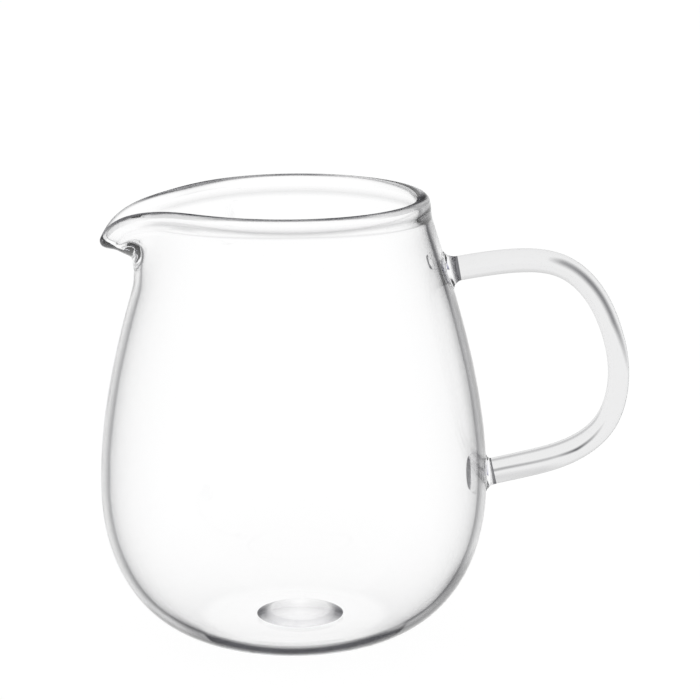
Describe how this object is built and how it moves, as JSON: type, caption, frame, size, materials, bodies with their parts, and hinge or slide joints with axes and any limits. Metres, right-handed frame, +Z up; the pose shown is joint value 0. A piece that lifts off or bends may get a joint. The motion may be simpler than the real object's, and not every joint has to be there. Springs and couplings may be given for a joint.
{
  "type": "creamer pitcher",
  "caption": "Clear glass creamer: pear-shaped blown vessel with a thick rounded rim, a drooping drawn spout and a solid rod ear handle fused to the wall, for serving milk or cream.",
  "frame": {"origin": "centre of the flat underside of the base, on the axis of the vessel", "axes": "+Z up along the axis of the vessel, +X towards the handle, -X towards the spout"},
  "size_m": [0.0955, 0.07, 0.0802],
  "materials": {
    "clear_glass": "fire-polished clear borosilicate glass"
  },
  "bodies": {
    "root": {"vessel_body": "clear_glass", "handle_rod": "clear_glass", "upper_handle_weld": "clear_glass", "lower_handle_weld": "clear_glass", "base_button": "clear_glass"}
  },
  "joints": []
}
